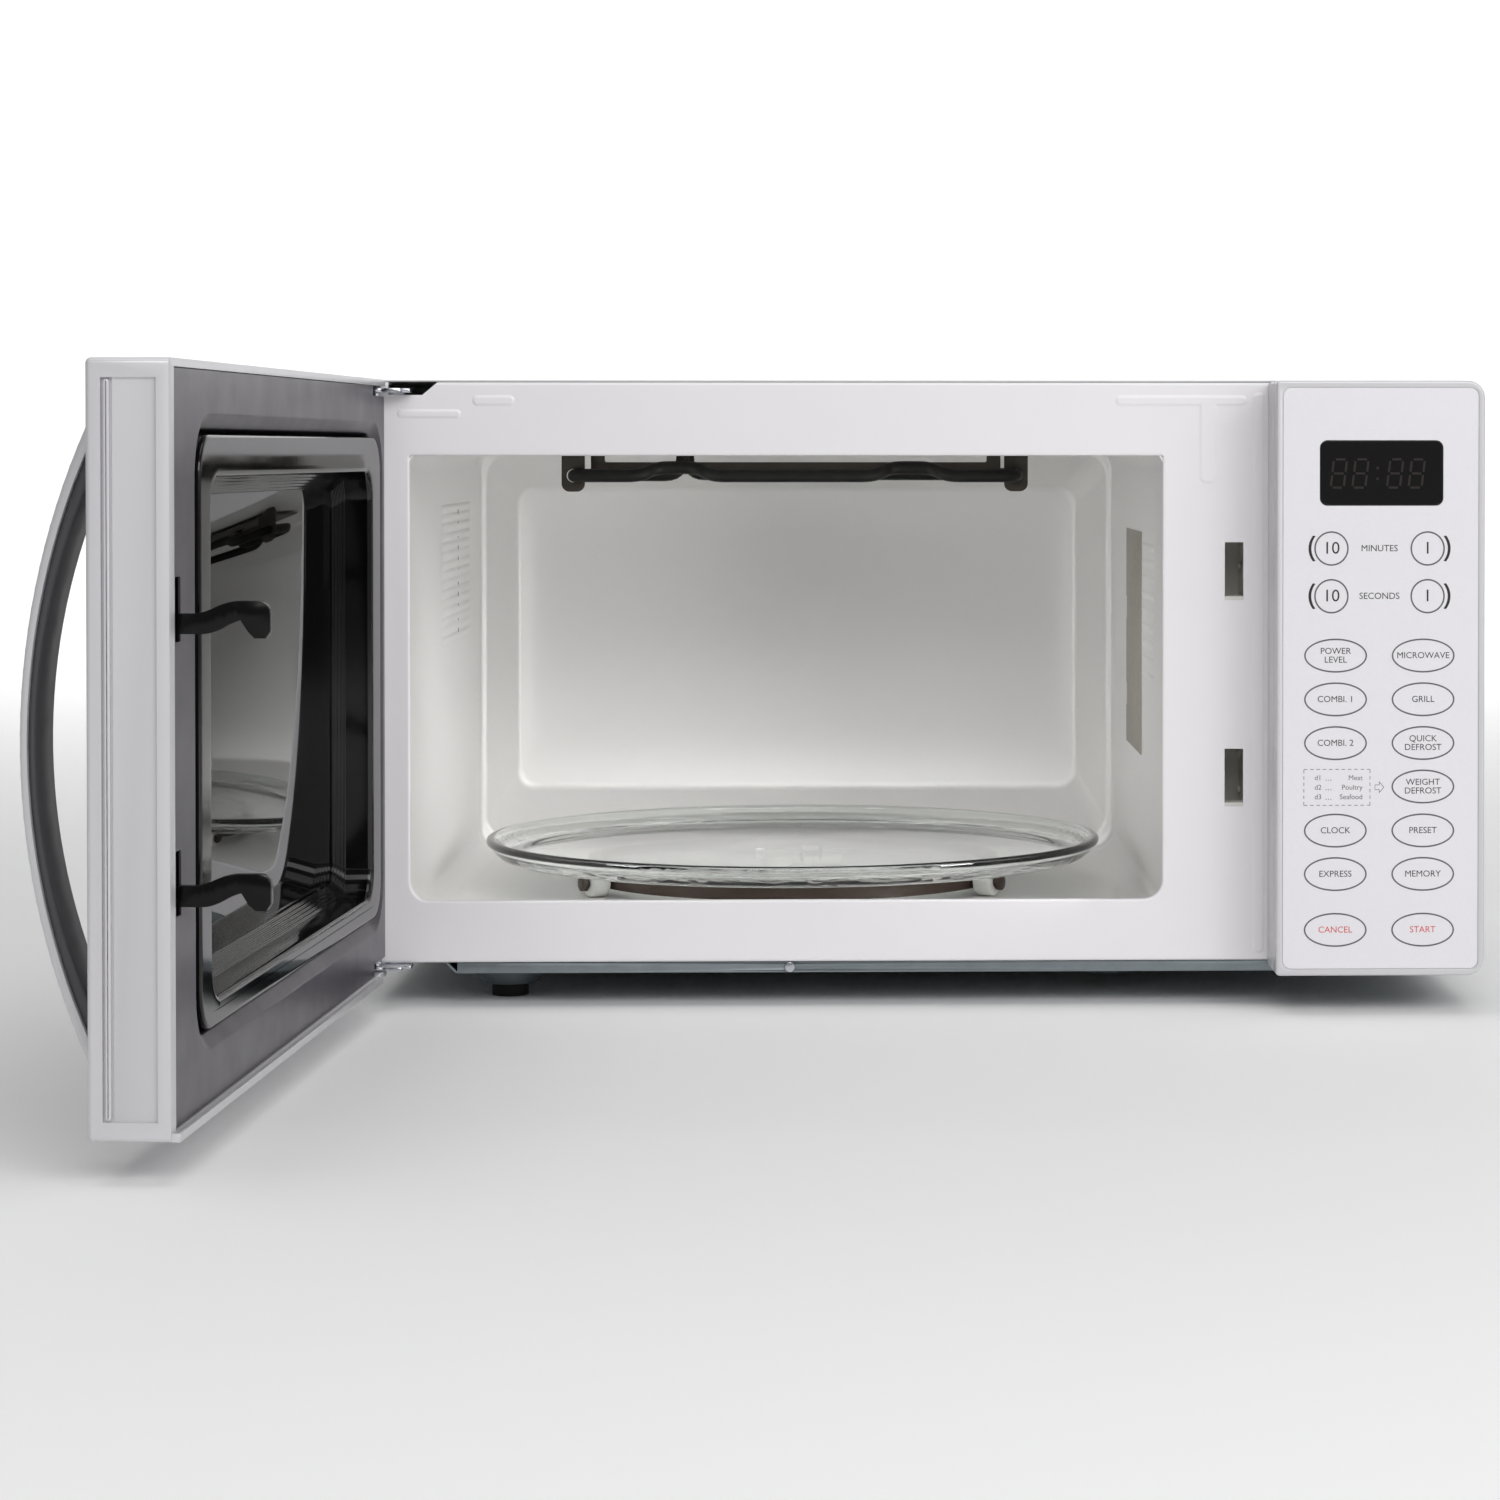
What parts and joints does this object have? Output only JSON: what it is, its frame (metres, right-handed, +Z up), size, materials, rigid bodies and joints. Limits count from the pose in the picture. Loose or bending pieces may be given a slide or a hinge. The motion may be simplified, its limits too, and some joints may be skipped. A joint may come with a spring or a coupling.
{
  "type": "microwave oven",
  "caption": "Countertop microwave oven with a grill, its side-hinged door open, a glass turntable inside and a printed keypad beside the door.",
  "frame": {"origin": "on the floor under the middle of the whole object's box, with its door open as it is stored", "axes": "+X to the user's right, +Y from the front to the back, +Z up"},
  "size_m": [0.5927, 0.8225, 0.294],
  "materials": {
    "enamel_white": "satin powder enamel",
    "cavity_enamel": "gloss cavity enamel",
    "case_paint": "fine textured powder coat",
    "zinc_sheet": "galvanised",
    "bright_zinc": "bright zinc plate",
    "rubber_black": "matt",
    "mica": "matt pressed mica",
    "heater_sheath": "oxidised sheath",
    "dark_sheet": "heat darkened",
    "clear_glass": "smooth with pebbled band",
    "ring_brown": "moulded",
    "wheel_white": "moulded",
    "white_plastic": "moulded",
    "silver_plastic": "silver pigment, satin",
    "panel_silver": "silver white metallic film",
    "display_black": "clear black",
    "board_green": "printed board",
    "door_dark": "dark satin paint",
    "black_gloss": "high gloss",
    "grip_dark": "satin",
    "smoked_glass": "smoked",
    "screen_black": "perforated, black",
    "copper_winding": "lacquered wire",
    "core_steel": "laminated",
    "aluminium_body": "bare",
    "spring_steel": "drawn wire"
  },
  "bodies": {
    "cabinet": {"front_frame": "enamel_white", "cavity_shell": "cavity_enamel", "cavity_floor": "cavity_enamel", "cavity_back": "cavity_enamel", "outer_case": "case_paint", "rear_panel": "zinc_sheet", "base_plate": "zinc_sheet", "base_screw": "bright_zinc", "rubber_feet": "rubber_black", "upper_hinge_bracket": "bright_zinc", "lower_hinge_bracket": "bright_zinc", "mica_cover": "mica", "grill_element": "heater_sheath", "grill_brackets": "dark_sheet", "grill_reflector": "dark_sheet", "turntable_motor": "bright_zinc", "latch_board": "white_plastic", "primary_switch": "black_gloss", "monitor_switch": "black_gloss", "secondary_switch": "black_gloss", "panel_housing": "silver_plastic", "keypad_film": "panel_silver", "display_window": "display_black", "display_module": "display_black", "control_board": "board_green", "waveguide": "zinc_sheet", "magnetron": "aluminium_body", "transformer_core": "core_steel", "transformer_windings": "copper_winding", "capacitor": "aluminium_body", "hv_diode": "black_gloss", "fan_shroud": "zinc_sheet", "fan_motor": "core_steel", "filter_board": "board_green", "cavity_lamp": "clear_glass", "thermal_cutout": "black_gloss", "cord_gland": "black_gloss", "case_screws": "bright_zinc"},
    "turntable_drive": {"motor_shaft": "bright_zinc", "drive_coupler": "white_plastic"},
    "tray": {"glass_tray": "clear_glass"},
    "ring": {"roller_ring": "ring_brown"},
    "wheel_1": {"roller_wheel_1": "wheel_white"},
    "wheel_2": {"roller_wheel_2": "wheel_white"},
    "wheel_3": {"roller_wheel_3": "wheel_white"},
    "fan": {"fan_blade": "white_plastic"},
    "door": {"door_shell": "silver_plastic", "door_outer_pane": "smoked_glass", "door_plate": "door_dark", "door_screen": "screen_black", "choke_cover": "black_gloss", "door_inner_pane": "smoked_glass", "door_handle": "silver_plastic", "handle_grip": "grip_dark", "latch_spring": "spring_steel", "hinge_pins": "bright_zinc"},
    "latch": {"latch_hooks": "black_gloss"},
    "primary_button": {"primary_plunger": "white_plastic"},
    "monitor_button": {"monitor_plunger": "white_plastic"},
    "secondary_button": {"secondary_plunger": "white_plastic"}
  },
  "joints": [
    {"name": "door_hinge", "type": "hinge", "parent": "cabinet", "child": "door", "pos_m": [-0.2171, 0.0038, 0.155], "axis": [0, 0, 1], "range_deg": [-6.7, 93.3]},
    {"name": "latch_lift", "type": "slide", "parent": "door", "child": "latch", "axis": [0, 0, 1], "range_m": [0, 0.006], "stiffness_N_per_m": 150, "springref_m": -0.004},
    {"name": "coupler_spin", "type": "hinge", "parent": "cabinet", "child": "turntable_drive", "pos_m": [-0.0256, 0.1873, 0.044], "axis": [0, 0, 1], "continuous": true},
    {"name": "tray_lift", "type": "slide", "parent": "turntable_drive", "child": "tray", "axis": [0, 0, 1], "range_m": [0, 0.03]},
    {"name": "ring_spin", "type": "hinge", "parent": "cabinet", "child": "ring", "pos_m": [-0.0256, 0.1873, 0.0448], "axis": [0, 0, 1], "continuous": true},
    {"name": "wheel_1_spin", "type": "hinge", "parent": "ring", "child": "wheel_1", "pos_m": [-0.0256, 0.3003, 0.0448], "axis": [0, 1, 0], "continuous": true},
    {"name": "wheel_2_spin", "type": "hinge", "parent": "ring", "child": "wheel_2", "pos_m": [-0.12346, 0.1308, 0.0448], "axis": [-0.866, -0.5, 0], "continuous": true},
    {"name": "wheel_3_spin", "type": "hinge", "parent": "ring", "child": "wheel_3", "pos_m": [0.07226, 0.1308, 0.0448], "axis": [0.866, -0.5, 0], "continuous": true},
    {"name": "fan_spin", "type": "hinge", "parent": "cabinet", "child": "fan", "pos_m": [0.2274, 0.3333, 0.19], "axis": [0, 1, 0], "continuous": true},
    {"name": "primary_button_travel", "type": "slide", "parent": "cabinet", "child": "primary_button", "axis": [1, 0, 0], "range_m": [0, 0.0012], "stiffness_N_per_m": 200},
    {"name": "monitor_button_travel", "type": "slide", "parent": "cabinet", "child": "monitor_button", "axis": [1, 0, 0], "range_m": [0, 0.0012], "stiffness_N_per_m": 200},
    {"name": "secondary_button_travel", "type": "slide", "parent": "cabinet", "child": "secondary_button", "axis": [1, 0, 0], "range_m": [0, 0.0012], "stiffness_N_per_m": 200}
  ],
  "couplings": [
    {"joint": "ring_spin", "follows": "coupler_spin", "ratio": 0.5},
    {"joint": "wheel_1_spin", "follows": "coupler_spin", "ratio": -8.0714},
    {"joint": "wheel_2_spin", "follows": "coupler_spin", "ratio": -8.0714},
    {"joint": "wheel_3_spin", "follows": "coupler_spin", "ratio": -8.0714}
  ]
}
